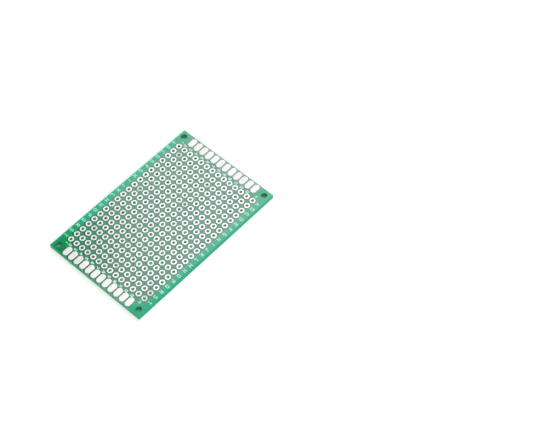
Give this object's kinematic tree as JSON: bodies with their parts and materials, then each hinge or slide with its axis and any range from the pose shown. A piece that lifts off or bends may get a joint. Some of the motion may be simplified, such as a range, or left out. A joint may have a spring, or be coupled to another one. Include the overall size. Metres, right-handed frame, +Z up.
{
  "type": "prototype board",
  "caption": "Double-sided prototyping circuit board with a grid of plated-through holes, long solder pads along both short ends and a screw hole in each corner.",
  "frame": {"origin": "under the middle of the board, on the plane of the bottom pads that it lies on", "axes": "+X along a row of holes, +Y along the columns towards row A (the 60 mm side), +Z up through the board"},
  "size_m": [0.04, 0.06, 0.0016],
  "materials": {
    "laminate": "cut glass-epoxy edge, satin",
    "solder_mask": "glossy green solder mask",
    "tinned_copper": "bright hot-dipped tin",
    "legend_ink": "printed white ink"
  },
  "bodies": {
    "root": {"laminate": "laminate", "solder_mask_top": "solder_mask", "solder_mask_bottom": "solder_mask", "plated_row_a": "tinned_copper", "plated_row_b": "tinned_copper", "plated_row_c": "tinned_copper", "plated_row_d": "tinned_copper", "plated_row_e": "tinned_copper", "plated_row_f": "tinned_copper", "plated_row_g": "tinned_copper", "plated_row_h": "tinned_copper", "plated_row_i": "tinned_copper", "plated_row_j": "tinned_copper", "plated_row_k": "tinned_copper", "plated_row_l": "tinned_copper", "plated_row_m": "tinned_copper", "plated_row_n": "tinned_copper", "plated_row_o": "tinned_copper", "plated_row_p": "tinned_copper", "plated_row_q": "tinned_copper", "plated_row_r": "tinned_copper", "plated_row_s": "tinned_copper", "plated_row_t": "tinned_copper", "edge_pads_top_first_row": "tinned_copper", "edge_pads_top_last_row": "tinned_copper", "edge_pads_bottom_first_row": "tinned_copper", "edge_pads_bottom_last_row": "tinned_copper"}
  },
  "joints": []
}
